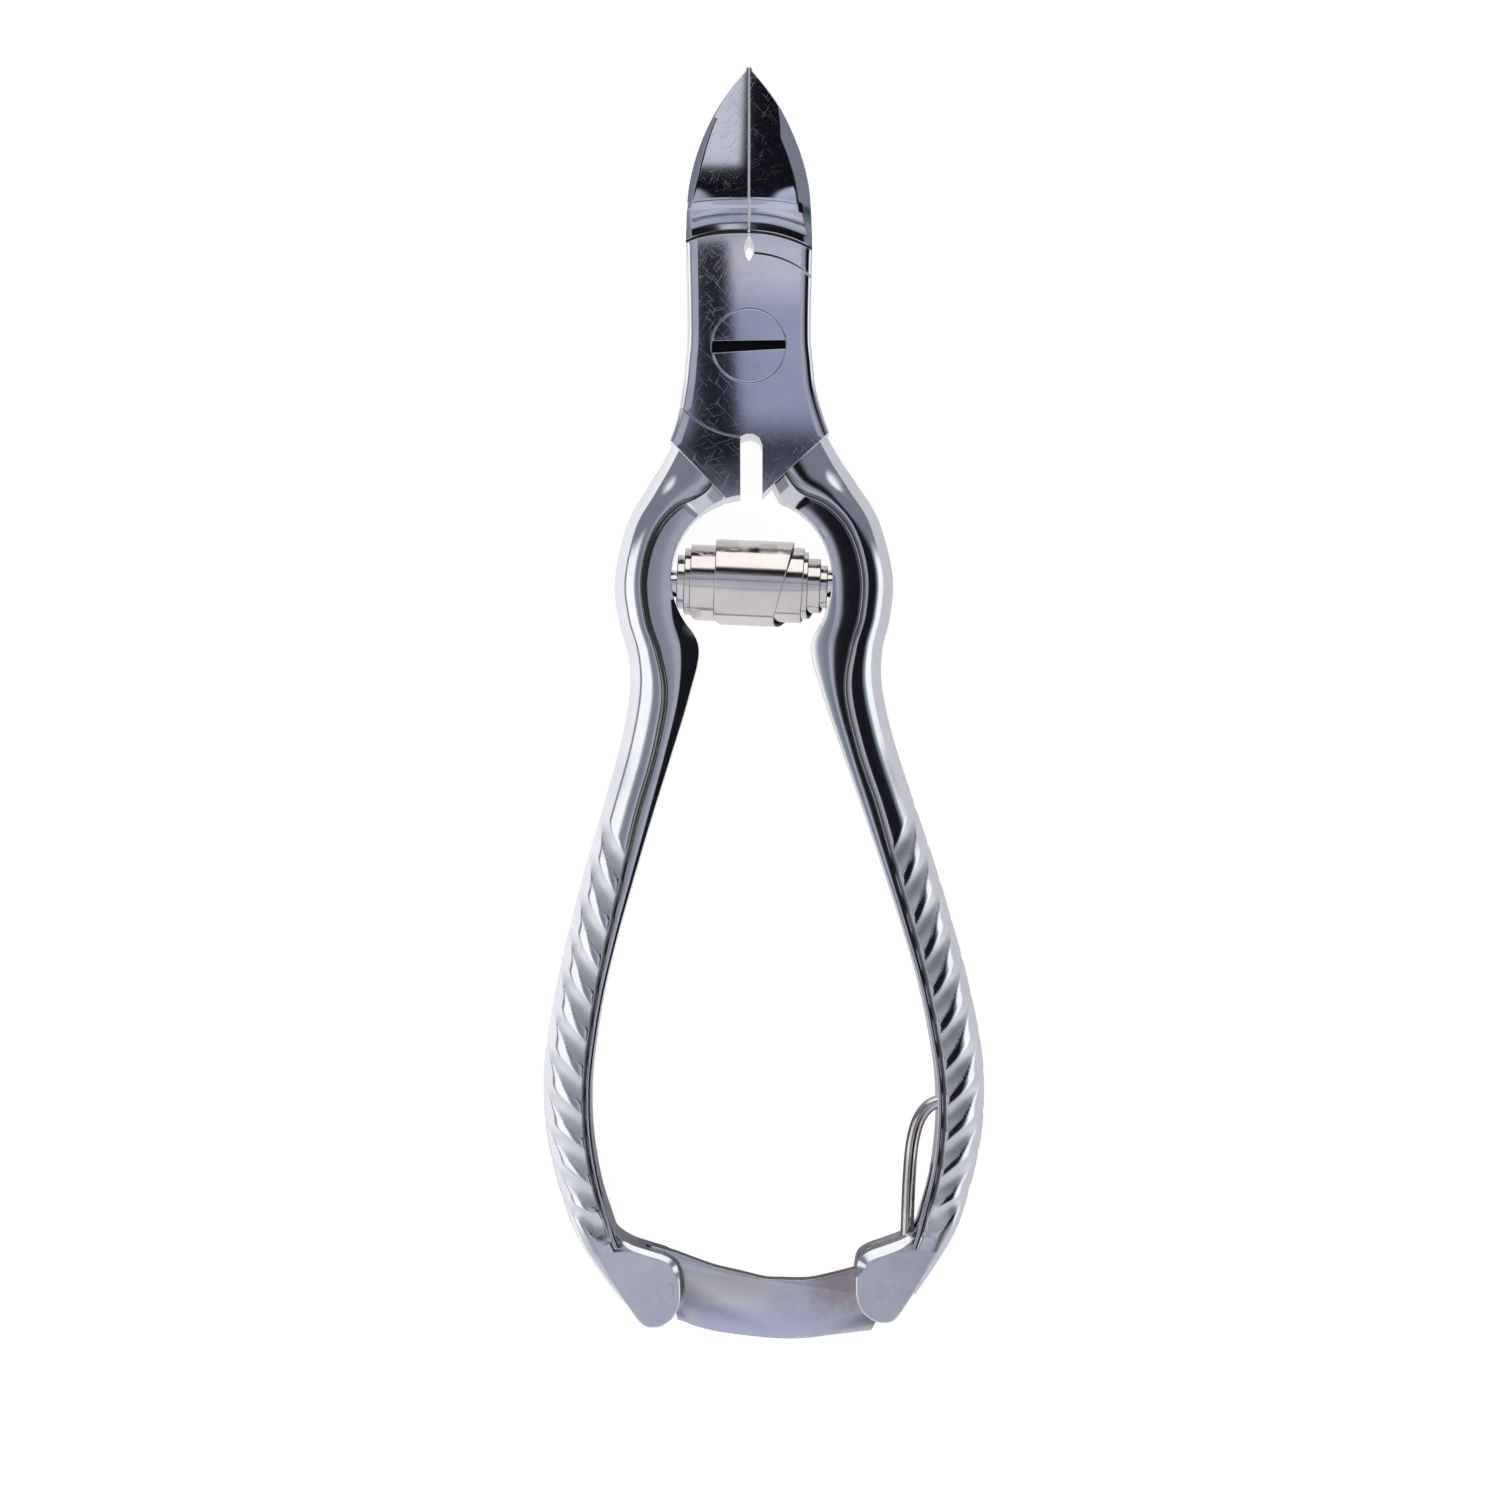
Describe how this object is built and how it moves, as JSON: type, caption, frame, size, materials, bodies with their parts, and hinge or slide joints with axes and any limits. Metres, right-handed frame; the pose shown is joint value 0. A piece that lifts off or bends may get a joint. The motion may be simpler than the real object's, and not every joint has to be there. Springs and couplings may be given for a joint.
{
  "type": "toenail nipper",
  "caption": "Plier-type nail nipper with crossed levers on a screw, a barrel spring between the handles and a hooked catch across their ends.",
  "frame": {"origin": "on the pivot axis, at the flat back face of the joint, with the nipper lying on its back", "axes": "+Z along the pivot axis, towards the screw head; +Y towards the jaw tips; +X towards the handle with the catch pin"},
  "size_m": [0.0487, 0.1403, 0.0096],
  "materials": {
    "forged_steel": "polished stainless forging with faint grinding lines",
    "screw_steel": "ground flush with the joint",
    "spring_steel": "bright rolled strip with fine lines along it",
    "catch_steel": "ground flat bar",
    "pin_steel": "ground flush",
    "wire_steel": "drawn spring wire"
  },
  "bodies": {
    "back": {"back_half": "forged_steel", "pivot_screw": "screw_steel", "keeper_pin": "pin_steel", "spring_peg_left": "pin_steel", "barrel_spring": "spring_steel"},
    "front": {"front_half": "forged_steel", "catch_pin": "pin_steel", "catch_wire": "wire_steel", "spring_peg_right": "pin_steel"},
    "catch": {"catch_bar": "catch_steel"}
  },
  "joints": [
    {"name": "pivot", "type": "hinge", "parent": "back", "child": "front", "pos_m": [0, 0, 0.004], "axis": [0, 0, 1], "range_deg": [0, 16], "deforming": ["barrel_spring"]},
    {"name": "catch_hinge", "type": "hinge", "parent": "front", "child": "catch", "pos_m": [0.0152, -0.1037, 0.004], "axis": [0, 0, -1], "range_deg": [-1.7, 26]}
  ]
}
